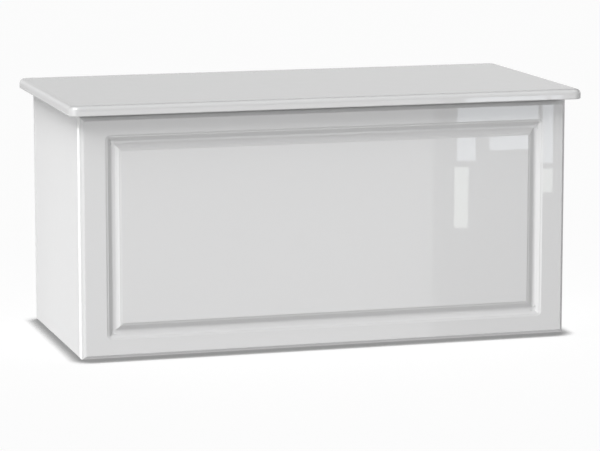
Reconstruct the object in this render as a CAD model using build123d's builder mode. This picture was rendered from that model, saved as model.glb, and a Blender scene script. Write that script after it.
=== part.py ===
from build123d import *
import os
from math import cos, radians, sin

# A free-standing toy box: white board panels round an inner floor, a hinged lid that oversails
# them, three butt hinges, two folding lid stays and knock-down corner fittings.
# Origin: centre of the footprint on the floor. +X across the front, +Y to the back, +Z up.

os.makedirs("parts", exist_ok=True)

# Box and lid, millimetres
BOX_WIDTH = 900.0
BOX_DEPTH = 412.0
PANEL_HEIGHT = 429.0
BOARD = 18.0
FRONT_BOARD = 25.0
GLIDE_HEIGHT = 2.0
LID_GAP = 4.5
LID_SIDE_OVERHANG = 22.0
LID_FRONT_OVERHANG = 26.0
LID_BACK_OVERHANG = 32.0
LID_CORNER_RADIUS = 16.0
LID_TOP_RADIUS = 9.0
LID_UNDER_RADIUS = 2.0
FRONT_EDGE_REACH = 6.8
FRONT_EDGE_QUIRK = 0.9
FRONT_EDGE_ANGLE = 20.0
EASED_EDGE = 1.0
BACK_JOINT_EASE = 1.8
BACK_EDGE_RADIUS = 3.0

# Routed frame line on the front: a lip, a flat, a hollow slope and a round bottom, then back up
MOULDING_SIDE_MARGIN = 44.1
MOULDING_BOTTOM_MARGIN = 34.0
MOULDING_TOP_MARGIN = 32.1
MOULDING_WIDTH = 28.8
MOULDING_LIP = (2.9, 1.15)
MOULDING_FLAT = (4.2, 1.25)
MOULDING_HOLLOW = (7.3, 3.4)
MOULDING_SLOPE_END = (10.6, 5.3)
MOULDING_DEPTH = 6.4
MOULDING_CORNER_RADIUS = 9.0

# Inner floor
BASE_THICKNESS = 12.0
BASE_CLEARANCE = 0.5
BATTEN = 20.0
BATTEN_RISE = 2.0

# Corner fittings
CAM_SETBACK = 34.0
CAM_RADIUS = 7.4
CAM_POCKET_RADIUS = 7.5
CAM_LENGTH = 12.5
CAM_HEIGHTS = (62.0, 367.0)
CAM_SLOT = (9.0, 1.6, 1.6)
CAP_RADIUS = 8.8
CAP_THICKNESS = 1.2
BOLT_BORE_RADIUS = 4.0
BOLT_SHAFT_RADIUS = 3.0
BOLT_HEAD_RADIUS = 3.3
BOLT_THREAD_RADIUS = 2.5
BOLT_THREAD_LENGTH = 11.0
BOLT_END_CLEARANCE = 0.2
DOWEL_RADIUS = 4.0
DOWEL_LENGTH = 30.0
DOWEL_IN_FACE = 10.0
DOWEL_HEIGHTS = (140.0, 290.0)

# Hinges
HINGE_XS = (-330.0, 0.0, 330.0)
HINGE_NAMES = ("left", "middle", "right")
HINGE_LENGTH = 60.0
LEAF_THICKNESS = 1.2
LEAF_REACH = 18.75
KNUCKLE_RADIUS = 2.25
KNUCKLE_COUNT = 5
KNUCKLE_GAP = 0.3
HINGE_SETBACK = 0.5
PIN_RADIUS = 1.0
PIN_CLEARANCE = 0.05
HINGE_SCREW_SPACING = 21.0

# Lid stays: two equal links that form a rhombus with the hinge line
STAY_LINK = 150.0
STAY_SIDE_ANGLE = 72.5
STAY_LID_ANGLE = 5.6
ARM_WIDTH = 14.0
ARM_THICKNESS = 2.5
ARM_GAP = 0.5
BRACKET_THICKNESS = 1.6
TAB_THICKNESS = 2.0
RIVET_RADIUS = 2.5
RIVET_HEAD_RADIUS = 4.5
RIVET_HEAD = 1.2
RIVET_BACK_HEAD = 1.0
RIVET_HEAD_TAPER = 20.0
RIVET_PLAY = 0.1
ARM_BORE_RADIUS = 2.56
LID_END_BORE_RADIUS = 2.8
WASHER_RADIUS = 6.0
WASHER_THICKNESS = 0.4
SIDE_BRACKET_SIZE = (22.0, 60.0)
SIDE_BRACKET_CORNER = 5.0
SIDE_BRACKET_SCREWS = 40.0
LID_BRACKET_LENGTH = 34.0
LID_BRACKET_REACH = 24.4
LID_BRACKET_CORNER = 4.0
LID_BRACKET_SCREWS = 20.0

# Screws: head radius, shank radius, length. Cross slot: length in head radii, width, depth
HINGE_SCREW = (2.6, 1.4, 15.0)
STAY_SCREW = (3.4, 1.8, 15.0)
BATTEN_SCREW = (3.8, 2.0, 30.0)
BASE_SCREW = (3.6, 1.8, 25.0)
SCREW_TIP = 3.0
CROSS_SLOT = (1.2, 0.7, 0.8)

# Feet and buffers
GLIDE_RADIUS = 8.0
GLIDE_NAIL_RADIUS = 1.2
GLIDE_NAIL_LENGTH = 12.0
GLIDE_INSET = 20.0
BUFFER_RADIUS = 5.0
BUFFER_YS = (-165.0, 60.0)

# Planes and faces that the pieces share
LID_WIDTH = BOX_WIDTH + 2 * LID_SIDE_OVERHANG
LID_DEPTH = LID_FRONT_OVERHANG + BOX_DEPTH + LID_BACK_OVERHANG
FRONT_Y = -LID_DEPTH / 2 + LID_FRONT_OVERHANG
BACK_Y = FRONT_Y + BOX_DEPTH
SIDE_FRONT_Y = FRONT_Y + FRONT_BOARD
SIDE_BACK_Y = BACK_Y - BOARD
SIDE_MID_Y = (SIDE_FRONT_Y + SIDE_BACK_Y) / 2
INNER_X = BOX_WIDTH / 2 - BOARD
SIDE_MID_X = BOX_WIDTH / 2 - BOARD / 2
PANEL_BOTTOM = GLIDE_HEIGHT
PANEL_TOP = GLIDE_HEIGHT + PANEL_HEIGHT
PANEL_MID_Z = (PANEL_BOTTOM + PANEL_TOP) / 2
LID_UNDERSIDE = PANEL_TOP + LID_GAP
LID_THICKNESS = BOARD
BATTEN_BOTTOM = PANEL_BOTTOM + BATTEN_RISE
BASE_UNDERSIDE = BATTEN_BOTTOM + BATTEN
BASE_TOP = BASE_UNDERSIDE + BASE_THICKNESS
HINGE_Y = BACK_Y + KNUCKLE_RADIUS + HINGE_SETBACK
HINGE_Z = LID_UNDERSIDE - KNUCKLE_RADIUS
LEAF_SCREW_Y = BACK_Y - BOARD / 2

# Stay pivots in the Y-Z plane, lid closed
SIDE_PIVOT = (
    HINGE_Y - STAY_LINK * cos(radians(STAY_SIDE_ANGLE)),
    HINGE_Z - STAY_LINK * sin(radians(STAY_SIDE_ANGLE)),
)
LID_PIVOT = (
    HINGE_Y - STAY_LINK * cos(radians(STAY_LID_ANGLE)),
    HINGE_Z - STAY_LINK * sin(radians(STAY_LID_ANGLE)),
)
ELBOW = (SIDE_PIVOT[0] + LID_PIVOT[0] - HINGE_Y, SIDE_PIVOT[1] + LID_PIVOT[1] - HINGE_Z)

# Stay layers, distances from the middle of the box, outermost face first
LOWER_ARM_X = INNER_X - BRACKET_THICKNESS - ARM_GAP
UPPER_ARM_X = LOWER_ARM_X - ARM_THICKNESS - ARM_GAP
LID_TAB_X = LOWER_ARM_X - ARM_THICKNESS + TAB_THICKNESS

SIDES = (("left", -1), ("right", 1))


def save(piece, name):
    """Label a finished sub-part and write its STEP file."""
    piece.part.label = name
    export_step(piece.part, f"parts/{name}.step")


def facing(x, y, z, normal):
    """A screw or bore seat: its origin on the surface, +Z out of the surface."""
    return Plane(origin=(x, y, z), z_dir=normal).location


def seats_on_box_leaf(x):
    """Screw seats on the leaf that lies on the back panel's top edge."""
    xs = (x - HINGE_SCREW_SPACING, x, x + HINGE_SCREW_SPACING)
    return [facing(sx, LEAF_SCREW_Y, PANEL_TOP + LEAF_THICKNESS, (0, 0, 1)) for sx in xs]


def seats_on_lid_leaf(x):
    """Screw seats on the leaf that lies against the lid's underside."""
    xs = (x - HINGE_SCREW_SPACING, x, x + HINGE_SCREW_SPACING)
    return [facing(sx, LEAF_SCREW_Y, LID_UNDERSIDE - LEAF_THICKNESS, (0, 0, -1)) for sx in xs]


def seats_on_side_bracket(side):
    """Screw seats on a stay's side bracket."""
    x = side * (INNER_X - BRACKET_THICKNESS)
    y, z = SIDE_PIVOT
    half = SIDE_BRACKET_SCREWS / 2
    return [facing(x, y, z + dz, (-side, 0, 0)) for dz in (-half, half)]


def seats_on_lid_bracket(side):
    """Screw seats on a stay's lid bracket."""
    x = side * (LID_TAB_X - TAB_THICKNESS - LID_BRACKET_REACH / 2)
    half = LID_BRACKET_SCREWS / 2
    z = LID_UNDERSIDE - BRACKET_THICKNESS
    return [facing(x, LID_PIVOT[0] + dy, z, (0, 0, -1)) for dy in (-half, half)]


BATTEN_SCREW_Z = BATTEN_BOTTOM + BATTEN / 2
LONG_BATTEN_XS = (-330.0, -110.0, 110.0, 330.0)
SHORT_BATTEN_YS = (SIDE_MID_Y - 110.0, SIDE_MID_Y + 110.0)
FRONT_BATTEN_SEATS = [
    facing(x, SIDE_FRONT_Y + BATTEN, BATTEN_SCREW_Z, (0, 1, 0)) for x in LONG_BATTEN_XS
]
BACK_BATTEN_SEATS = [
    facing(x, SIDE_BACK_Y - BATTEN, BATTEN_SCREW_Z, (0, -1, 0)) for x in LONG_BATTEN_XS
]
SIDE_BATTEN_SEATS = {
    side: [
        facing(side * (INNER_X - BATTEN), y, BATTEN_SCREW_Z, (-side, 0, 0))
        for y in SHORT_BATTEN_YS
    ]
    for _, side in SIDES
}
BASE_SEATS = [
    facing(x, y, BASE_TOP, (0, 0, 1))
    for x in (-220.0, 0.0, 220.0)
    for y in (SIDE_FRONT_Y + BATTEN / 2, SIDE_BACK_Y - BATTEN / 2)
] + [facing(side * (INNER_X - BATTEN / 2), SIDE_MID_Y, BASE_TOP, (0, 0, 1)) for _, side in SIDES]

# Where the side panels' ends meet the front and back panels: end plane y and the way out of it
PANEL_ENDS = ((SIDE_FRONT_Y, -1), (SIDE_BACK_Y, 1))


def corner_seats(heights, side):
    """Seats on one side panel's two end edges, +Z pointing out of the edge."""
    return [
        facing(side * SIDE_MID_X, end_y, PANEL_BOTTOM + height, (0, outward, 0))
        for end_y, outward in PANEL_ENDS
        for height in heights
    ]


def cam_seats(side):
    """Seats of the cams on a side panel's inner face, +Z towards the middle of the box."""
    return [
        facing(side * INNER_X, end_y - outward * CAM_SETBACK, PANEL_BOTTOM + height, (-side, 0, 0))
        for end_y, outward in PANEL_ENDS
        for height in CAM_HEIGHTS
    ]


def cut_screw_holes(seats, screw, plate_thickness=0.0):
    """Cut the part of each screw's hole that lies behind a plate of the given thickness."""
    head_radius, shank_radius, length = screw
    for seat in seats:
        with Locations(seat):
            with Locations((0, 0, -plate_thickness)):
                Cylinder(
                    shank_radius,
                    length - plate_thickness,
                    align=(Align.CENTER, Align.CENTER, Align.MAX),
                    mode=Mode.SUBTRACT,
                )
            if plate_thickness < head_radius - shank_radius:
                Cone(
                    shank_radius,
                    head_radius,
                    head_radius - shank_radius,
                    align=(Align.CENTER, Align.CENTER, Align.MAX),
                    mode=Mode.SUBTRACT,
                )


def make_screws(name, seats, screw):
    """Countersunk cross-slot screws, heads flush with their seats."""
    head_radius, shank_radius, length = screw
    slot_share, slot_width, slot_depth = CROSS_SLOT
    slot_length = slot_share * head_radius
    top = (Align.CENTER, Align.CENTER, Align.MAX)
    with BuildPart() as screws:
        with Locations(*seats):
            Cylinder(shank_radius, length - SCREW_TIP, align=top)
            Cone(shank_radius, head_radius, head_radius - shank_radius, align=top)
            with Locations((0, 0, SCREW_TIP - length)):
                Cone(shank_radius / 4, shank_radius, SCREW_TIP, align=top)
            Box(slot_length, slot_width, slot_depth, align=top, mode=Mode.SUBTRACT)
            Box(slot_width, slot_length, slot_depth, align=top, mode=Mode.SUBTRACT)
    save(screws, name)


def cut_corner_bores(side):
    """Bores in a side panel's end edges for the cam bolts and dowels."""
    top = (Align.CENTER, Align.CENTER, Align.MAX)
    with Locations(*corner_seats(CAM_HEIGHTS, side)):
        Cylinder(BOLT_BORE_RADIUS, CAM_SETBACK, align=top, mode=Mode.SUBTRACT)
    with Locations(*corner_seats(DOWEL_HEIGHTS, side)):
        Cylinder(DOWEL_RADIUS, DOWEL_LENGTH - DOWEL_IN_FACE, align=top, mode=Mode.SUBTRACT)
    with Locations(*cam_seats(side)):
        Cylinder(CAM_POCKET_RADIUS, CAM_LENGTH, align=top, mode=Mode.SUBTRACT)


def cut_face_bores(outward):
    """Bores in the front (-1) or back (+1) panel's inner face for bolts and dowels."""
    end_y = SIDE_FRONT_Y if outward < 0 else SIDE_BACK_Y
    for heights, radius, depth in (
        (CAM_HEIGHTS, BOLT_THREAD_RADIUS, BOLT_THREAD_LENGTH),
        (DOWEL_HEIGHTS, DOWEL_RADIUS, DOWEL_IN_FACE),
    ):
        seats = [
            facing(side * SIDE_MID_X, end_y, PANEL_BOTTOM + height, (0, -outward, 0))
            for _, side in SIDES
            for height in heights
        ]
        with Locations(*seats):
            Cylinder(
                radius, depth, align=(Align.CENTER, Align.CENTER, Align.MAX), mode=Mode.SUBTRACT
            )


def make_moulding_cutter():
    """The solid that the router clears: four straight runs and four round corner sweeps.

    The runs overlap at the corners, which mitres the inner slopes, and the round corner
    sweeps give the outer edge its radius. In each profile local X runs inwards from the
    corner pivot and local Y out of the face.
    """
    inset = MOULDING_CORNER_RADIUS
    proud = 1.0
    half_profile = [
        (0.0, 0.0), MOULDING_LIP, MOULDING_FLAT, MOULDING_HOLLOW, MOULDING_SLOPE_END
    ]
    outer = [(u - inset, -depth) for u, depth in half_profile]
    inner = [(MOULDING_WIDTH - u - inset, -depth) for u, depth in reversed(half_profile)]
    middle = (MOULDING_WIDTH / 2 - inset, -MOULDING_DEPTH)
    slope_run = MOULDING_SLOPE_END[0] - MOULDING_HOLLOW[0]
    slope_fall = MOULDING_SLOPE_END[1] - MOULDING_HOLLOW[1]
    pivot_depth = MOULDING_HOLLOW[1] + slope_fall * (inset - MOULDING_HOLLOW[0]) / slope_run
    x = BOX_WIDTH / 2 - MOULDING_SIDE_MARGIN - inset
    low = PANEL_BOTTOM + MOULDING_BOTTOM_MARGIN + inset
    high = PANEL_TOP - MOULDING_TOP_MARGIN - inset
    pivots = [Vector(px, FRONT_Y, pz) for px, pz in ((-x, low), (x, low), (x, high), (-x, high))]
    with BuildPart() as cutter:
        for start, end in zip(pivots, pivots[1:] + pivots[:1]):
            along = (end - start).normalized()
            run_plane = Plane(origin=start, x_dir=Vector(0, -1, 0).cross(along), z_dir=along)
            with BuildSketch(run_plane):
                with BuildLine():
                    Polyline(*outer)
                    ThreePointArc(outer[-1], middle, inner[0])
                    Polyline(*inner)
                    Polyline(inner[-1], (inner[-1][0], proud), (outer[0][0], proud), outer[0])
                make_face()
            extrude(amount=(end - start).length)
            with BuildSketch(run_plane):
                with BuildLine():
                    Polyline(
                        *outer[:4], (0, -pivot_depth), (0, proud), (outer[0][0], proud),
                        close=True,
                    )
                make_face()
            revolve(axis=Axis(start, (0, 1, 0)))
    return cutter.part


def make_edge_cutter():
    """The solid that shapes the edges round the front's face: a small step, then a long round.

    In the profile local X runs inwards from the board's edge and local Y out of the face. The
    round starts at an angle to the face and ends flush with the edge. Its four straight runs
    overlap, which mitres the corners.
    """
    proud = 1.0
    start_angle = radians(FRONT_EDGE_ANGLE)
    middle_angle = radians((FRONT_EDGE_ANGLE + 90.0) / 2)
    radius = FRONT_EDGE_REACH / (1 - sin(start_angle))
    fall = FRONT_EDGE_QUIRK + radius * cos(start_angle)
    round_middle = (radius * (1 - sin(middle_angle)), radius * cos(middle_angle) - fall)
    corners = [
        Vector(px, FRONT_Y, pz)
        for px, pz in (
            (-BOX_WIDTH / 2, PANEL_BOTTOM),
            (BOX_WIDTH / 2, PANEL_BOTTOM),
            (BOX_WIDTH / 2, PANEL_TOP),
            (-BOX_WIDTH / 2, PANEL_TOP),
        )
    ]
    with BuildPart() as cutter:
        for start, end in zip(corners, corners[1:] + corners[:1]):
            along = (end - start).normalized()
            run_plane = Plane(origin=start, x_dir=Vector(0, -1, 0).cross(along), z_dir=along)
            with BuildSketch(run_plane):
                with BuildLine():
                    Line((FRONT_EDGE_REACH, proud), (FRONT_EDGE_REACH, -FRONT_EDGE_QUIRK))
                    ThreePointArc(
                        (FRONT_EDGE_REACH, -FRONT_EDGE_QUIRK), round_middle, (0, -fall)
                    )
                    Polyline(
                        (0, -fall), (-proud, -fall), (-proud, proud), (FRONT_EDGE_REACH, proud)
                    )
                make_face()
            extrude(amount=(end - start).length)
    return cutter.part


moulding_cutter = make_moulding_cutter()
edge_cutter = make_edge_cutter()

# Front panel: thick board with shaped edges all round its face and a routed frame line
with BuildPart() as front_panel:
    with BuildSketch(Plane.XZ.offset(-SIDE_FRONT_Y)):
        with Locations((0, PANEL_MID_Z)):
            Rectangle(BOX_WIDTH, PANEL_HEIGHT)
    extrude(amount=FRONT_BOARD)
    add(edge_cutter, mode=Mode.SUBTRACT)
    add(moulding_cutter, mode=Mode.SUBTRACT)
    cut_face_bores(-1)
    cut_screw_holes(FRONT_BATTEN_SEATS, BATTEN_SCREW, BATTEN)
save(front_panel, "front_panel")

# Back panel: plain board over the side panels' back edges
with BuildPart() as back_panel:
    with BuildSketch(Plane.XZ.offset(-BACK_Y)):
        with Locations((0, PANEL_MID_Z)):
            Rectangle(BOX_WIDTH, PANEL_HEIGHT)
    extrude(amount=BOARD)
    fillet(back_panel.faces().sort_by(Axis.Y)[-1].edges(), BACK_EDGE_RADIUS)
    chamfer(back_panel.faces().sort_by(Axis.Y)[0].edges().filter_by(Axis.Z), BACK_JOINT_EASE)
    cut_face_bores(1)
    cut_screw_holes(BACK_BATTEN_SEATS, BATTEN_SCREW, BATTEN)
    for hinge_x in HINGE_XS:
        cut_screw_holes(seats_on_box_leaf(hinge_x), HINGE_SCREW, LEAF_THICKNESS)
save(back_panel, "back_panel")


def make_side_panel(label, side):
    """One side panel between the front and back panels, bored for all its fittings."""
    with BuildPart() as panel:
        with BuildSketch(Plane.XY.offset(PANEL_BOTTOM)) as plan:
            with Locations((side * SIDE_MID_X, SIDE_MID_Y)):
                Rectangle(BOARD, SIDE_BACK_Y - SIDE_FRONT_Y)
            back_corners = plan.vertices().group_by(Axis.Y)[-1].sort_by(Axis.X)
            chamfer(back_corners[0 if side < 0 else -1], BACK_JOINT_EASE)
        extrude(amount=PANEL_HEIGHT)
        fillet(panel.edges().filter_by(Axis.Y), EASED_EDGE)
        cut_corner_bores(side)
        cut_screw_holes(SIDE_BATTEN_SEATS[side], BATTEN_SCREW, BATTEN)
        cut_screw_holes(seats_on_side_bracket(side), STAY_SCREW, BRACKET_THICKNESS)
        for y in (SIDE_FRONT_Y + GLIDE_INSET, SIDE_BACK_Y - GLIDE_INSET):
            with Locations((side * SIDE_MID_X, y, PANEL_BOTTOM)):
                Cylinder(
                    GLIDE_NAIL_RADIUS,
                    GLIDE_NAIL_LENGTH,
                    align=(Align.CENTER, Align.CENTER, Align.MIN),
                    mode=Mode.SUBTRACT,
                )
    save(panel, f"{label}_side_panel")


for side_name, side_sign in SIDES:
    make_side_panel(side_name, side_sign)

# Base panel: the inner floor, lying on the battens
with BuildPart() as base_panel:
    with BuildSketch(Plane.XY.offset(BASE_UNDERSIDE)):
        with Locations((0, SIDE_MID_Y)):
            Rectangle(
                2 * (INNER_X - BASE_CLEARANCE),
                SIDE_BACK_Y - SIDE_FRONT_Y - 2 * BASE_CLEARANCE,
            )
    extrude(amount=BASE_THICKNESS)
    cut_screw_holes(BASE_SEATS, BASE_SCREW)
save(base_panel, "base_panel")


def make_batten(label, centre, size, seats):
    """A square batten that carries the base panel, screwed through into its wall."""
    with BuildPart() as batten:
        with Locations(centre):
            Box(*size)
        if size[0] > size[1]:
            long_axis = Axis.X
        else:
            long_axis = Axis.Y
        chamfer(batten.edges().filter_by(long_axis), EASED_EDGE)
        cut_screw_holes(seats, BATTEN_SCREW)
        base_holes = [
            seat for seat in BASE_SEATS
            if abs(seat.position.X - centre[0]) < size[0] / 2
            and abs(seat.position.Y - centre[1]) < size[1] / 2
        ]
        cut_screw_holes(base_holes, BASE_SCREW, BASE_THICKNESS)
    save(batten, label)


long_batten = (2 * (INNER_X - BATTEN), BATTEN, BATTEN)
short_batten = (BATTEN, SIDE_BACK_Y - SIDE_FRONT_Y, BATTEN)
make_batten(
    "base_batten_front",
    (0, SIDE_FRONT_Y + BATTEN / 2, BATTEN_SCREW_Z),
    long_batten,
    FRONT_BATTEN_SEATS,
)
make_batten(
    "base_batten_back",
    (0, SIDE_BACK_Y - BATTEN / 2, BATTEN_SCREW_Z),
    long_batten,
    BACK_BATTEN_SEATS,
)
for side_name, side_sign in SIDES:
    make_batten(
        f"base_batten_{side_name}",
        (side_sign * (INNER_X - BATTEN / 2), SIDE_MID_Y, BATTEN_SCREW_Z),
        short_batten,
        SIDE_BATTEN_SEATS[side_sign],
    )
make_screws(
    "batten_screws",
    FRONT_BATTEN_SEATS + BACK_BATTEN_SEATS + SIDE_BATTEN_SEATS[-1] + SIDE_BATTEN_SEATS[1],
    BATTEN_SCREW,
)
make_screws("base_screws", BASE_SEATS, BASE_SCREW)

# Lid: one board, rounded in plan, softly rounded on top and eased below
with BuildPart() as lid_panel:
    with BuildSketch(Plane.XY.offset(LID_UNDERSIDE)):
        RectangleRounded(LID_WIDTH, LID_DEPTH, LID_CORNER_RADIUS)
    extrude(amount=LID_THICKNESS)
    fillet(lid_panel.faces().sort_by(Axis.Z)[-1].edges(), LID_TOP_RADIUS)
    fillet(lid_panel.faces().sort_by(Axis.Z)[0].edges(), LID_UNDER_RADIUS)
    for hinge_x in HINGE_XS:
        cut_screw_holes(seats_on_lid_leaf(hinge_x), HINGE_SCREW, LEAF_THICKNESS)
    for _, side_sign in SIDES:
        cut_screw_holes(seats_on_lid_bracket(side_sign), STAY_SCREW, BRACKET_THICKNESS)
save(lid_panel, "lid_panel")

# Corner fittings: cams in the side panels, bolts in the front and back panels, dowels between
inwards = (Align.CENTER, Align.CENTER, Align.MAX)
outwards = (Align.CENTER, Align.CENTER, Align.MIN)
all_cam_seats = cam_seats(-1) + cam_seats(1)
bolt_seats = corner_seats(CAM_HEIGHTS, -1) + corner_seats(CAM_HEIGHTS, 1)
dowel_seats = corner_seats(DOWEL_HEIGHTS, -1) + corner_seats(DOWEL_HEIGHTS, 1)
slot_length, slot_width, slot_depth = CAM_SLOT
with BuildPart() as cam_locks:
    with Locations(*all_cam_seats):
        Cylinder(CAM_RADIUS, CAM_LENGTH, align=inwards)
        Box(slot_length, slot_width, slot_depth, align=inwards, mode=Mode.SUBTRACT)
        Box(slot_width, slot_length, slot_depth, align=inwards, mode=Mode.SUBTRACT)
    with Locations(*bolt_seats):
        Cylinder(BOLT_BORE_RADIUS, CAM_SETBACK, align=inwards, mode=Mode.SUBTRACT)
save(cam_locks, "cam_locks")

with BuildPart() as cam_bolts:
    with Locations(*bolt_seats):
        Cylinder(BOLT_THREAD_RADIUS, BOLT_THREAD_LENGTH, align=outwards)
        Cylinder(BOLT_SHAFT_RADIUS, CAM_SETBACK - 2 * BOLT_HEAD_RADIUS, align=inwards)
        with Locations((0, 0, BOLT_END_CLEARANCE - CAM_SETBACK)):
            Cylinder(BOLT_HEAD_RADIUS / 2, 2 * BOLT_HEAD_RADIUS, align=outwards)
            Cylinder(BOLT_HEAD_RADIUS, BOLT_HEAD_RADIUS, align=outwards)
save(cam_bolts, "cam_bolts")

with BuildPart() as cam_caps:
    with Locations(*all_cam_seats):
        Cone(CAP_RADIUS, CAP_RADIUS - CAP_THICKNESS / 2, CAP_THICKNESS, align=outwards)
save(cam_caps, "cam_caps")

with BuildPart() as corner_dowels:
    with Locations(*dowel_seats):
        with Locations((0, 0, DOWEL_IN_FACE)):
            Cylinder(DOWEL_RADIUS, DOWEL_LENGTH, align=inwards)
    chamfer(corner_dowels.edges().filter_by(GeomType.CIRCLE), EASED_EDGE)
save(corner_dowels, "corner_dowels")

# Floor glides: nailed-on plastic discs under the side panels
with BuildPart() as floor_glides:
    with GridLocations(2 * SIDE_MID_X, SIDE_BACK_Y - SIDE_FRONT_Y - 2 * GLIDE_INSET, 2, 2):
        with Locations((0, SIDE_MID_Y, 0)):
            Cone(GLIDE_RADIUS - EASED_EDGE, GLIDE_RADIUS, GLIDE_HEIGHT, align=outwards)
            Cylinder(GLIDE_NAIL_RADIUS, GLIDE_HEIGHT + GLIDE_NAIL_LENGTH, align=outwards)
save(floor_glides, "floor_glides")

# Lid buffers: soft stops on the side panels' top edges that carry the closed lid
with BuildPart() as lid_buffers:
    buffer_spots = [(side * SIDE_MID_X, y, PANEL_TOP) for _, side in SIDES for y in BUFFER_YS]
    with Locations(*buffer_spots):
        Cylinder(BUFFER_RADIUS, LID_GAP, align=outwards)
    tops = lid_buffers.faces().filter_by(Axis.Z).group_by(Axis.Z)[-1]
    fillet(tops.edges(), EASED_EDGE)
save(lid_buffers, "lid_buffers")


def knuckle_centres(x, first):
    """Centres along X of every other knuckle of the hinge at x, from the given one on."""
    pitch = HINGE_LENGTH / KNUCKLE_COUNT
    start = x - HINGE_LENGTH / 2 + pitch / 2
    return [start + pitch * index for index in range(first, KNUCKLE_COUNT, 2)]


def make_hinge_leaf(label, x, first, leaf_z, bore_radius, seats):
    """A leaf with every other knuckle; leaf_z is the middle of its plate."""
    pitch = HINGE_LENGTH / KNUCKLE_COUNT
    with BuildPart() as leaf:
        with BuildSketch(Plane.YZ.offset(x - HINGE_LENGTH / 2)):
            with Locations((HINGE_Y - LEAF_REACH / 2, leaf_z)):
                Rectangle(LEAF_REACH, LEAF_THICKNESS)
            with Locations((HINGE_Y, HINGE_Z)):
                Circle(KNUCKLE_RADIUS)
        extrude(amount=HINGE_LENGTH)
        with Locations(*[(gap, HINGE_Y, HINGE_Z) for gap in knuckle_centres(x, 1 - first)]):
            Box(
                pitch + KNUCKLE_GAP,
                2 * KNUCKLE_RADIUS + 2 * KNUCKLE_GAP,
                3 * KNUCKLE_RADIUS,
                mode=Mode.SUBTRACT,
            )
        with Locations(facing(x, HINGE_Y, HINGE_Z, (1, 0, 0))):
            Cylinder(bore_radius, 2 * HINGE_LENGTH, mode=Mode.SUBTRACT)
        cut_screw_holes(seats, HINGE_SCREW)
    save(leaf, label)


for hinge_name, hinge_x in zip(HINGE_NAMES, HINGE_XS):
    make_hinge_leaf(
        f"hinge_{hinge_name}_box_leaf",
        hinge_x,
        0,
        PANEL_TOP + LEAF_THICKNESS / 2,
        PIN_RADIUS,
        seats_on_box_leaf(hinge_x),
    )
    make_hinge_leaf(
        f"hinge_{hinge_name}_lid_leaf",
        hinge_x,
        1,
        LID_UNDERSIDE - LEAF_THICKNESS / 2,
        PIN_RADIUS + PIN_CLEARANCE,
        seats_on_lid_leaf(hinge_x),
    )
    with BuildPart() as hinge_pin:
        with Locations(facing(hinge_x, HINGE_Y, HINGE_Z, (1, 0, 0))):
            Cylinder(PIN_RADIUS, HINGE_LENGTH)
    save(hinge_pin, f"hinge_{hinge_name}_pin")

make_screws(
    "hinge_box_screws", [seat for x in HINGE_XS for seat in seats_on_box_leaf(x)], HINGE_SCREW
)
make_screws(
    "hinge_lid_screws", [seat for x in HINGE_XS for seat in seats_on_lid_leaf(x)], HINGE_SCREW
)


def make_arm(label, side, outer_x, ends, bores):
    """A flat stay arm with round ends, bored at both."""
    with BuildPart() as arm:
        with BuildSketch(Plane.YZ.offset(side * outer_x)):
            with Locations(*ends):
                Circle(ARM_WIDTH / 2)
            make_hull()
            for end, bore in zip(ends, bores):
                with Locations(end):
                    Circle(bore, mode=Mode.SUBTRACT)
        extrude(amount=-side * ARM_THICKNESS)
    save(arm, label)


def make_rivet(label, side, centre, outer_x, inner_x, back_head):
    """A rivet along X: shank between two distances from the middle, head on its inner end."""
    with BuildPart() as rivet:
        with BuildSketch(Plane.YZ.offset(side * outer_x)):
            with Locations(centre):
                Circle(RIVET_RADIUS)
        extrude(amount=-side * (outer_x - inner_x))
        with BuildSketch(Plane.YZ.offset(side * inner_x)):
            with Locations(centre):
                Circle(RIVET_HEAD_RADIUS)
        extrude(amount=-side * RIVET_HEAD, taper=RIVET_HEAD_TAPER)
        if back_head:
            with BuildSketch(Plane.YZ.offset(side * outer_x)):
                with Locations(centre):
                    Circle(RIVET_HEAD_RADIUS)
            extrude(amount=side * RIVET_BACK_HEAD, taper=RIVET_HEAD_TAPER)
    save(rivet, label)


def make_side_bracket(label, side):
    """The plate on the side panel that carries the lower arm's pivot."""
    width, height = SIDE_BRACKET_SIZE
    with BuildPart() as bracket:
        with BuildSketch(Plane.YZ.offset(side * INNER_X)):
            with Locations(SIDE_PIVOT):
                RectangleRounded(width, height, SIDE_BRACKET_CORNER)
                Circle(RIVET_RADIUS, mode=Mode.SUBTRACT)
        extrude(amount=-side * BRACKET_THICKNESS)
        cut_screw_holes(seats_on_side_bracket(side), STAY_SCREW)
    save(bracket, label)


def make_lid_bracket(label, side):
    """An angle under the lid: a flange for two screws and a tab for the upper arm's pivot."""
    y, z = LID_PIVOT
    flange_middle = LID_TAB_X - (TAB_THICKNESS + LID_BRACKET_REACH) / 2
    with BuildPart() as bracket:
        with BuildSketch(Plane.YZ.offset(side * LID_TAB_X)):
            with Locations((y, z)):
                Circle(ARM_WIDTH / 2)
            with Locations((y, LID_UNDERSIDE - BRACKET_THICKNESS / 2)):
                Rectangle(LID_BRACKET_LENGTH, BRACKET_THICKNESS)
            make_hull()
            with Locations((y, z)):
                Circle(RIVET_RADIUS, mode=Mode.SUBTRACT)
        extrude(amount=-side * TAB_THICKNESS)
        with BuildSketch(Plane.XY.offset(LID_UNDERSIDE)):
            with Locations((side * flange_middle, y)):
                Rectangle(TAB_THICKNESS + LID_BRACKET_REACH, LID_BRACKET_LENGTH)
        extrude(amount=-BRACKET_THICKNESS)
        inner_corners = bracket.edges().filter_by(Axis.Z).group_by(Axis.X)
        fillet(inner_corners[0] if side > 0 else inner_corners[-1], LID_BRACKET_CORNER)
        cut_screw_holes(seats_on_lid_bracket(side), STAY_SCREW)
    save(bracket, label)


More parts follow.
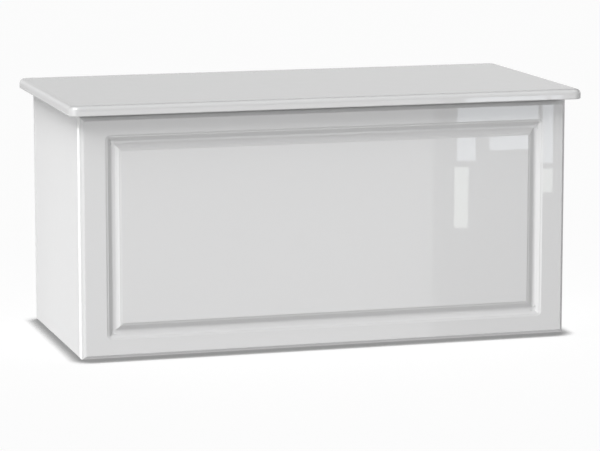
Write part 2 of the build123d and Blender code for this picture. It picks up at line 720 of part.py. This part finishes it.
def make_washer(label, side):
    """The elbow's friction washer, between the two arms."""
    with BuildPart() as washer:
        with BuildSketch(Plane.YZ.offset(side * (LOWER_ARM_X - ARM_THICKNESS))):
            with Locations(ELBOW):
                Circle(WASHER_RADIUS)
                Circle(RIVET_RADIUS, mode=Mode.SUBTRACT)
        extrude(amount=-side * WASHER_THICKNESS)
    save(washer, label)


for side_name, side_sign in SIDES:
    stay = f"stay_{side_name}"
    lower_inner_x = LOWER_ARM_X - ARM_THICKNESS - RIVET_PLAY
    upper_inner_x = UPPER_ARM_X - ARM_THICKNESS - RIVET_PLAY
    make_side_bracket(f"{stay}_side_bracket", side_sign)
    make_lid_bracket(f"{stay}_lid_bracket", side_sign)
    make_arm(
        f"{stay}_lower_arm",
        side_sign,
        LOWER_ARM_X,
        (SIDE_PIVOT, ELBOW),
        (ARM_BORE_RADIUS, RIVET_RADIUS),
    )
    make_arm(
        f"{stay}_upper_arm",
        side_sign,
        UPPER_ARM_X,
        (ELBOW, LID_PIVOT),
        (ARM_BORE_RADIUS, LID_END_BORE_RADIUS),
    )
    make_washer(f"{stay}_elbow_washer", side_sign)
    make_rivet(f"{stay}_side_rivet", side_sign, SIDE_PIVOT, INNER_X, lower_inner_x, False)
    make_rivet(f"{stay}_elbow_rivet", side_sign, ELBOW, LOWER_ARM_X, upper_inner_x, True)
    make_rivet(f"{stay}_lid_rivet", side_sign, LID_PIVOT, LID_TAB_X, upper_inner_x, True)

make_screws("stay_side_screws", seats_on_side_bracket(-1) + seats_on_side_bracket(1), STAY_SCREW)
make_screws("stay_lid_screws", seats_on_lid_bracket(-1) + seats_on_lid_bracket(1), STAY_SCREW)
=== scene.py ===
from math import cos, radians, sin

import bpy
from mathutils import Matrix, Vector


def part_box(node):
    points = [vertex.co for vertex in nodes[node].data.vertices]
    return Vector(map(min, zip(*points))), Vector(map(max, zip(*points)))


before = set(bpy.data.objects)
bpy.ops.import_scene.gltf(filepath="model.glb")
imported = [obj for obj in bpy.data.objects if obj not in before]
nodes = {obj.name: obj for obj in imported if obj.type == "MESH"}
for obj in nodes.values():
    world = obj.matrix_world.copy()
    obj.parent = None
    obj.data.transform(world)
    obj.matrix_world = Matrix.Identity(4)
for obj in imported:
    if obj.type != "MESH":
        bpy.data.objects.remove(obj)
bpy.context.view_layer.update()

WHITE = (1.0, 1.0, 1.0)

# ---------------------------------------------------------------- light levels
# The room round the box, as the radiance that comes from each side of it
ROOM_RIGHT = 1.09
ROOM_BACK = 0.7
ROOM_BELOW = 0.526
# The light of the walls fades out between these heights, as sines of the elevation
BAND_LOW = 0.19
BAND_HIGH = 0.31
# Soft suns on the box: their discs, in degrees, and their strengths
SOFT_DISC = 40.0
TOP_DISC = 30.0
KEY_HIGH = 2.18
FILL_HIGH = 0.76
KEY_LEVEL = 0.46
TOP_SUN = 0.09
BACK_LOW = 1.9
# The floor: its colour and own light, and the painted shade that darkens its light where something
# stands close over it
FLOOR_HALF = 60.0
FLOOR_COLOUR = (0.16, 0.16, 0.16)
FLOOR_GLOW = 0.965
SHADE_REACH = 0.027
SHADE_TILT = Vector((0.0, 0.32, 0.90))
SHADE_POWER = 3.1
SHADE_LEAST = 0.25
# Boards that only the gloss sees: behind the left side, and in front of the box
LEFT_REFLECTOR = 1.68
LEFT_HIGH_REFLECTOR = 0.6
FRONT_REFLECTOR = 1.75
RIGHT_REFLECTOR = 0.94
WINDOW_PANE = 4.15


# ---------------------------------------------------------------- node helpers
def add_node(tree, kind, inputs=None, **settings):
    """A node with its settings made and its inputs set, or linked where they are sockets."""
    node = tree.nodes.new(kind)
    for name, value in settings.items():
        setattr(node, name, value)
    for socket, value in (inputs or {}).items():
        if isinstance(value, bpy.types.NodeSocket):
            tree.links.new(value, node.inputs[socket])
        else:
            node.inputs[socket].default_value = value
    return node


def compute(tree, operation, *values):
    """The output of a Math node."""
    inputs = dict(enumerate(values))
    return add_node(tree, "ShaderNodeMath", inputs, operation=operation).outputs[0]


def noise(tree, vector, scale, detail=2.0, roughness=0.5):
    """The value of a noise texture, 0 to 1, about 0.5 on average."""
    inputs = {"Vector": vector, "Scale": scale, "Detail": detail, "Roughness": roughness}
    return add_node(tree, "ShaderNodeTexNoise", inputs).outputs[0]


def spread(tree, value, low, high):
    """Maps the middle half of a noise value to low..high."""
    inputs = {"Value": value, "From Min": 0.25, "From Max": 0.75, "To Min": low, "To Max": high}
    return add_node(tree, "ShaderNodeMapRange", inputs).outputs[0]


def stretched(tree, vector, scale):
    """The vector scaled by a different amount along each axis."""
    return add_node(tree, "ShaderNodeMapping", {"Vector": vector, "Scale": scale}).outputs[0]


def blend_colours(tree, factor, first, second):
    """A mix of two colours, each a tuple or a socket."""
    node = add_node(tree, "ShaderNodeMix", {"Factor": factor}, data_type="RGBA")
    for socket, colour in ((node.inputs[6], first), (node.inputs[7], second)):
        if isinstance(colour, bpy.types.NodeSocket):
            tree.links.new(colour, socket)
        else:
            socket.default_value = (*colour, 1.0)
    return node.outputs[2]


def bump(tree, height, strength, distance, normal=None):
    """The output of a Bump node, on top of another one if that is given."""
    inputs = {"Height": height, "Strength": strength, "Distance": distance}
    if normal is not None:
        inputs["Normal"] = normal
    return add_node(tree, "ShaderNodeBump", inputs).outputs[0]


def new_material(name, **constants):
    """A material with its Principled shader's constants set; returns it, its tree and shader."""
    material = bpy.data.materials.new(name)
    material.use_nodes = True
    tree = material.node_tree
    shader = tree.nodes["Principled BSDF"]
    for socket, value in constants.items():
        shader.inputs[socket.replace("_", " ")].default_value = value
    return material, tree, shader


def object_space(tree):
    """Object coordinates, in metres: every CAD node sits at the origin."""
    return add_node(tree, "ShaderNodeTexCoord").outputs["Object"]


def connect(tree, output, shader, socket):
    """Links an output to one of the shader's sockets."""
    tree.links.new(output, shader.inputs[socket])


# ---------------------------------------------------------------- materials
def gloss_foil():
    """White high-gloss foil: a clear mirror coat with a trace of orange peel over a white body."""
    material, tree, shader = new_material(
        "white_gloss_foil", IOR=1.5, Coat_Weight=1.0, Coat_Roughness=0.012, Coat_IOR=1.5
    )
    place = object_space(tree)
    cloud = noise(tree, place, 3.0, 3.0)
    connect(tree, blend_colours(tree, cloud, (0.800, 0.800, 0.803), (0.812, 0.812, 0.813)),
            shader, "Base Color")
    connect(tree, spread(tree, noise(tree, place, 35.0, 4.0), 0.30, 0.38), shader, "Roughness")
    board_wave = bump(tree, noise(tree, place, 18.0, 1.0), 0.04, 0.0004)
    peel = bump(tree, noise(tree, place, 320.0, 1.0), 0.02, 0.0001, board_wave)
    connect(tree, peel, shader, "Coat Normal")
    return material


def satin_melamine():
    """White satin melamine: fine pearl embossing, no mirror coat."""
    material, tree, shader = new_material("white_satin_melamine", IOR=1.45)
    place = object_space(tree)
    cloud = noise(tree, place, 4.0, 3.0)
    connect(tree, blend_colours(tree, cloud, (0.795, 0.795, 0.797), (0.81, 0.81, 0.81)),
            shader, "Base Color")
    connect(tree, spread(tree, noise(tree, place, 60.0, 4.0), 0.42, 0.52), shader, "Roughness")
    pearl = bump(tree, noise(tree, place, 900.0, 2.0), 0.12, 0.0002)
    connect(tree, pearl, shader, "Normal")
    return material


def planed_wood(name, along, light, dark, ring_scale):
    """Bare planed wood with its grain along one axis: year rings, fibres and pores."""
    material, tree, shader = new_material(name, IOR=1.45)
    place = object_space(tree)
    fibre_scale = tuple(0.04 if axis == along else 1.0 for axis in "XYZ")
    drawn_out = stretched(tree, place, fibre_scale)
    swirl = spread(tree, noise(tree, drawn_out, 30.0, 2.0), -0.6, 0.6)
    wave_inputs = {"Vector": drawn_out, "Scale": ring_scale, "Distortion": 3.5, "Detail": 1.5,
                   "Phase Offset": swirl}
    rings = add_node(tree, "ShaderNodeTexWave", wave_inputs, wave_type="RINGS",
                     rings_direction=along).outputs["Fac"]
    fibres = noise(tree, drawn_out, 1100.0, 3.0, 0.7)
    grain = compute(tree, "ADD", compute(tree, "MULTIPLY", rings, 0.6),
                    compute(tree, "MULTIPLY", fibres, 0.4))
    connect(tree, blend_colours(tree, grain, light, dark), shader, "Base Color")
    connect(tree, spread(tree, fibres, 0.5, 0.68), shader, "Roughness")
    connect(tree, bump(tree, fibres, 0.3, 0.0003), shader, "Normal")
    return material


def plated_steel(name, colour, rough_low, rough_high, along):
    """Plated sheet steel: drawn streaks along one axis and faint handling marks."""
    material, tree, shader = new_material(name, Metallic=1.0)
    place = object_space(tree)
    streak_scale = tuple(0.03 if axis == along else 1.0 for axis in "XYZ")
    streaks = noise(tree, stretched(tree, place, streak_scale), 2200.0, 2.0)
    marks = noise(tree, place, 120.0, 4.0, 0.6)
    darker = tuple(0.86 * part for part in colour)
    connect(tree, blend_colours(tree, marks, darker, colour), shader, "Base Color")
    worn = compute(tree, "ADD", compute(tree, "MULTIPLY", streaks, 0.6),
                   compute(tree, "MULTIPLY", marks, 0.4))
    connect(tree, spread(tree, worn, rough_low, rough_high), shader, "Roughness")
    connect(tree, bump(tree, streaks, 0.15, 0.0001), shader, "Normal")
    return material


def cast_zinc():
    """As-cast zinc alloy: a dull grainy skin."""
    material, tree, shader = new_material("cast_zinc", Metallic=1.0)
    place = object_space(tree)
    skin = noise(tree, place, 700.0, 5.0, 0.65)
    connect(tree, blend_colours(tree, skin, (0.42, 0.43, 0.45), (0.62, 0.63, 0.65)),
            shader, "Base Color")
    connect(tree, spread(tree, skin, 0.45, 0.6), shader, "Roughness")
    connect(tree, bump(tree, skin, 0.5, 0.0002), shader, "Normal")
    return material


def moulded_plastic(name, colour, roughness, texture_scale, see_in=0.0):
    """Moulded plastic or rubber: spark-eroded skin, slight clouding and some depth."""
    material, tree, shader = new_material(
        name, IOR=1.46, Subsurface_Weight=see_in, Subsurface_Scale=0.003
    )
    place = object_space(tree)
    cloud = noise(tree, place, 90.0, 3.0)
    darker = tuple(0.93 * part for part in colour)
    connect(tree, blend_colours(tree, cloud, darker, colour), shader, "Base Color")
    skin = noise(tree, place, texture_scale, 3.0)
    connect(tree, spread(tree, skin, roughness - 0.06, roughness + 0.06), shader, "Roughness")
    connect(tree, bump(tree, skin, 0.2, 0.0001), shader, "Normal")
    return material


PINE = ((0.80, 0.61, 0.38), (0.60, 0.38, 0.18))
BEECH = ((0.76, 0.55, 0.36), (0.62, 0.41, 0.25))
gloss = gloss_foil()
satin = satin_melamine()
pine_across = planed_wood("pine_across", "X", *PINE, 55.0)
pine_deep = planed_wood("pine_deep", "Y", *PINE, 55.0)
beech = planed_wood("beech_dowel_wood", "Y", *BEECH, 160.0)
leaf_nickel = plated_steel("nickel_leaf", (0.72, 0.70, 0.66), 0.20, 0.34, "X")
arm_nickel = plated_steel("nickel_arm", (0.70, 0.68, 0.65), 0.22, 0.36, "Z")
turned_steel = plated_steel("turned_steel", (0.64, 0.64, 0.63), 0.24, 0.36, "X")
zinc_plate = plated_steel("zinc_plate", (0.74, 0.75, 0.78), 0.22, 0.38, "Y")
zinc_alloy = cast_zinc()
cap_plastic = moulded_plastic("cap_plastic", (0.82, 0.82, 0.81), 0.30, 500.0, 0.1)
glide_plastic = moulded_plastic("glide_plastic", (0.80, 0.80, 0.78), 0.45, 600.0, 0.1)
nylon = moulded_plastic("natural_nylon", (0.80, 0.79, 0.74), 0.42, 500.0, 0.25)
soft_buffer = moulded_plastic("soft_buffer", (0.70, 0.70, 0.68), 0.38, 300.0, 0.4)

FINISHES = {
    gloss: ["front_panel", "lid_panel"],
    satin: ["back_panel", "left_side_panel", "right_side_panel", "base_panel"],
    pine_across: ["base_batten_front", "base_batten_back"],
    pine_deep: ["base_batten_left", "base_batten_right"],
    beech: ["corner_dowels"],
    zinc_plate: ["batten_screws", "base_screws", "hinge_box_screws", "hinge_lid_screws",
                 "stay_side_screws", "stay_lid_screws", "cam_bolts"],
    zinc_alloy: ["cam_locks"],
    cap_plastic: ["cam_caps"],
    glide_plastic: ["floor_glides"],
    soft_buffer: ["lid_buffers"],
    leaf_nickel: [f"hinge_{place}_{part}" for place in ("left", "middle", "right")
                  for part in ("box_leaf", "lid_leaf", "pin")],
    arm_nickel: [f"stay_{side}_{part}" for side in ("left", "right")
                 for part in ("side_bracket", "lid_bracket", "lower_arm", "upper_arm")],
    turned_steel: [f"stay_{side}_{part}" for side in ("left", "right")
                   for part in ("side_rivet", "elbow_rivet", "lid_rivet")],
    nylon: ["stay_left_elbow_washer", "stay_right_elbow_washer"],
}
for finish, names in FINISHES.items():
    for name in names:
        for slot in nodes[name].material_slots:
            slot.material = finish


# ---------------------------------------------------------------- stage
def stage_plane(name, corners, material):
    """A flat four-cornered sheet that belongs to the stage."""
    mesh = bpy.data.meshes.new(name)
    mesh.from_pydata(corners, [], [(0, 1, 2, 3)])
    mesh.materials.append(material)
    sheet = bpy.data.objects.new(name, mesh)
    bpy.context.scene.collection.objects.link(sheet)
    return sheet


def only_in_gloss(sheet):
    """The sheet is seen by reflections alone."""
    sheet.visible_camera = False
    sheet.visible_diffuse = False
    sheet.visible_transmission = False
    sheet.visible_volume_scatter = False
    sheet.visible_shadow = False


def glowing(name, colour, strength):
    """A plain light-giving material."""
    material = bpy.data.materials.new(name)
    material.use_nodes = True
    tree = material.node_tree
    tree.nodes.clear()
    emission = add_node(tree, "ShaderNodeEmission", {"Color": (*colour, 1.0), "Strength": strength})
    add_node(tree, "ShaderNodeOutputMaterial", {"Surface": emission.outputs[0]})
    return material


def floor_finish():
    """A white sweep, lit and glowing, with painted shade in its glow where something stands close
    over it.
    """
    material, tree, shader = new_material("studio_floor", Roughness=1.0)
    shader.inputs["Specular IOR Level"].default_value = 0.0
    shader.inputs["Base Color"].default_value = (*FLOOR_COLOUR, 1.0)
    shader.inputs["Emission Color"].default_value = (*WHITE, 1.0)
    # Painted shade: ambient occlusion darkens the floor's glow, most where the box stands close
    # over it
    leaning = add_node(tree, "ShaderNodeCombineXYZ", dict(enumerate(SHADE_TILT.normalized())))
    openness_inputs = {"Distance": SHADE_REACH, "Normal": leaning.outputs[0]}
    openness = add_node(tree, "ShaderNodeAmbientOcclusion", openness_inputs, samples=6)
    shade = compute(tree, "POWER", openness.outputs["AO"], SHADE_POWER)
    shade = compute(tree, "MAXIMUM", shade, SHADE_LEAST)
    connect(tree, compute(tree, "MULTIPLY", shade, FLOOR_GLOW), shader, "Emission Strength")
    # From below the floor is clear, so the underside of the box can be seen through it
    below = add_node(tree, "ShaderNodeNewGeometry").outputs["Backfacing"]
    clear = add_node(tree, "ShaderNodeBsdfTransparent").outputs[0]
    one_sided = add_node(tree, "ShaderNodeMixShader", {0: below, 1: shader.outputs[0], 2: clear})
    tree.links.new(one_sided.outputs[0], tree.nodes["Material Output"].inputs["Surface"])
    return material


floor = stage_plane(
    "studio_floor",
    [(-FLOOR_HALF, -FLOOR_HALF, 0), (FLOOR_HALF, -FLOOR_HALF, 0),
     (FLOOR_HALF, FLOOR_HALF, 0), (-FLOOR_HALF, FLOOR_HALF, 0)],
    floor_finish(),
)
# The room gives the light from below, so the floor is there for the camera alone
floor.visible_diffuse = False
floor.visible_glossy = False
floor.visible_transmission = False
floor.visible_shadow = False


# ---------------------------------------------------------------- light
def soft_sun(name, energy, azimuth, elevation, disc=SOFT_DISC, spared=(floor,)):
    """A sun with a wide disc that lights all but the spared objects.

    It stands at an azimuth in degrees, 0 in front and 90 on the left, and an elevation.
    """
    light = bpy.data.lights.new(name, "SUN")
    light.energy = energy
    light.angle = radians(disc)
    sun = bpy.data.objects.new(name, light)
    turn = radians(azimuth)
    rise = radians(elevation)
    stands = Vector((-sin(turn) * cos(rise), -cos(turn) * cos(rise), sin(rise)))
    sun.rotation_euler = stands.to_track_quat("Z", "Y").to_euler()
    bpy.context.scene.collection.objects.link(sun)
    group = bpy.data.collections.new(f"{name}_group")
    for index, thing in enumerate(spared):
        group.objects.link(thing)
        group.collection_objects[index].light_linking.link_state = "EXCLUDE"
    sun.light_linking.receiver_collection = group
    return sun


soft_sun("key_high", KEY_HIGH, 60.0, 50.0)
soft_sun("fill_high", FILL_HIGH, 30.0, 50.0)
soft_sun("key_level", KEY_LEVEL, 60.0, 2.0)
soft_sun("top_sun", TOP_SUN, 100.0, 70.0, TOP_DISC)
# For the back and the underside: it spares the front too, and no gloss mirrors it
back_low = soft_sun(
    "back_low", BACK_LOW, 215.0, -20.0, spared=(floor, nodes["front_panel"])
)
back_low.visible_glossy = False


def room_light():
    """The world: soft light from the right, the back and below, plain white to the camera.

    The right and the back are brightest square on, and end above a low band. All directions
    below the horizon give the same light, as a pale floor would.
    """
    world = bpy.data.worlds.new("room")
    bpy.context.scene.world = world
    world.use_nodes = True
    tree = world.node_tree
    tree.nodes.clear()
    direction = add_node(tree, "ShaderNodeTexCoord").outputs["Generated"]
    parts = add_node(tree, "ShaderNodeSeparateXYZ", {"Vector": direction}).outputs
    total = 0.0
    for part, level in ((parts["X"], ROOM_RIGHT), (parts["Y"], ROOM_BACK)):
        facing = compute(tree, "MAXIMUM", part, 0.0)
        squared = compute(tree, "MULTIPLY", facing, facing)
        total = compute(tree, "MULTIPLY_ADD", squared, level, total)
    band_inputs = {"Value": parts["Z"], "From Min": BAND_LOW, "From Max": BAND_HIGH,
                   "To Min": 1.0, "To Max": 0.0}
    band = add_node(tree, "ShaderNodeMapRange", band_inputs, interpolation_type="SMOOTHSTEP")
    total = compute(tree, "MULTIPLY", total, band.outputs[0])
    below = compute(tree, "LESS_THAN", parts["Z"], 0.0)
    above = compute(tree, "SUBTRACT", 1.0, below)
    from_below = compute(tree, "MULTIPLY", below, ROOM_BELOW)
    total = compute(tree, "MULTIPLY_ADD", total, above, from_below)
    lit = add_node(tree, "ShaderNodeBackground", {"Color": (*WHITE, 1.0), "Strength": total})
    seen = add_node(tree, "ShaderNodeBackground", {"Color": (*WHITE, 1.0), "Strength": 1.0})
    camera_ray = add_node(tree, "ShaderNodeLightPath").outputs["Is Camera Ray"]
    choice = {0: camera_ray, 1: lit.outputs[0], 2: seen.outputs[0]}
    mixed = add_node(tree, "ShaderNodeMixShader", choice)
    add_node(tree, "ShaderNodeOutputWorld", {"Surface": mixed.outputs[0]})


room_light()

# ---------------------------------------------------------------- camera
CAMERA_PLACE = (-1.5419, -5.2992, 1.0836)
CAMERA_TURN = 16.3005
CAMERA_DIP = 9.2055
CAMERA_LENS = 181.37
CAMERA_SENSOR = 36.0
CAMERA_SIGHT = 200.0
camera_data = bpy.data.cameras.new("camera")
camera_data.lens = CAMERA_LENS
camera_data.sensor_width = CAMERA_SENSOR
camera_data.clip_end = CAMERA_SIGHT
camera = bpy.data.objects.new("camera", camera_data)
camera.location = CAMERA_PLACE
camera.rotation_euler = (radians(90.0 - CAMERA_DIP), 0.0, radians(-CAMERA_TURN))
bpy.context.scene.collection.objects.link(camera)
bpy.context.scene.camera = camera
bpy.context.scene.view_settings.view_transform = "Standard"

# ---------------------------------------------------------------- what the gloss reflects
front_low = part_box("front_panel")[0]
back_panel_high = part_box("back_panel")[1]

# The left side's reflectors: how far behind the box, and from how near to how far out on its left
REFLECTOR_Y = back_panel_high.y + 0.147
REFLECTOR_NEAR = front_low.x - 0.06
REFLECTOR_FAR = front_low.x - 0.55

# The front's boards: how far before the box, and how much nearer the window's panes stand
BOARD_DISTANCE = 1.0
PANES_NEARER = 0.01


def side_reflector(name, z_low, z_high, strength):
    """An upright sheet behind and left of the box, which the left side and lid edge mirror."""
    corners = [(REFLECTOR_FAR, REFLECTOR_Y, z_low), (REFLECTOR_NEAR, REFLECTOR_Y, z_low),
               (REFLECTOR_NEAR, REFLECTOR_Y, z_high), (REFLECTOR_FAR, REFLECTOR_Y, z_high)]
    only_in_gloss(stage_plane(name, corners, glowing(f"{name}_glow", WHITE, strength)))


def mirrored(x, z, distance):
    """The place, this far in front of the front panel, whose mirror image shows at (x, z) on it."""
    face_y = front_low.y
    eye = camera.location
    growth = 1.0 + distance / (face_y - eye.y)
    return (eye.x + (x - eye.x) * growth, face_y - distance, eye.z + (z - eye.z) * growth)


def reflection(name, across, up, material, distance=BOARD_DISTANCE):
    """An upright board, given by where its mirror image shows on the front panel, in metres."""
    x_low, x_high = across
    z_low, z_high = up
    shown = [(x_low, z_low), (x_high, z_low), (x_high, z_high), (x_low, z_high)]
    corners = [mirrored(x, z, distance) for x, z in shown]
    only_in_gloss(stage_plane(name, corners, material))


side_reflector("left_reflector", -0.2, 0.34, LEFT_REFLECTOR)
side_reflector("left_high_reflector", 0.36, 0.47, LEFT_HIGH_REFLECTOR)

# Two large boards meet at one upright line on the front panel
BOARDS_MEET = 0.196
BOARDS_UP = (-0.05, 0.50)
white_board = glowing("white_board", WHITE, FRONT_REFLECTOR)
dim_board = glowing("dim_board", WHITE, RIGHT_REFLECTOR)
reflection("white_board", (-0.75, BOARDS_MEET), BOARDS_UP, white_board)
reflection("dim_board", (BOARDS_MEET, 0.80), BOARDS_UP, dim_board)

# The window's panes: left to right and bottom to top, as they show on the front panel
upper_pane = glowing("upper_pane", (0.90, 0.95, 1.0), WINDOW_PANE)
lower_pane = glowing("lower_pane", (0.95, 1.0, 0.95), WINDOW_PANE)
for name, across, up, pane in (
    ("pane_top", (0.241, 0.396), (0.375, 0.460), upper_pane),
    ("pane_left", (0.241, 0.276), (0.328, 0.375), upper_pane),
    ("pane_middle", (0.303, 0.396), (0.345, 0.375), upper_pane),
    ("pane_right", (0.404, 0.425), (0.318, 0.460), upper_pane),
    ("pane_left_low", (0.236, 0.263), (0.206, 0.317), lower_pane),
    ("pane_right_low", (0.399, 0.425), (0.264, 0.308), lower_pane),
):
    reflection(name, across, up, pane, BOARD_DISTANCE - PANES_NEARER)
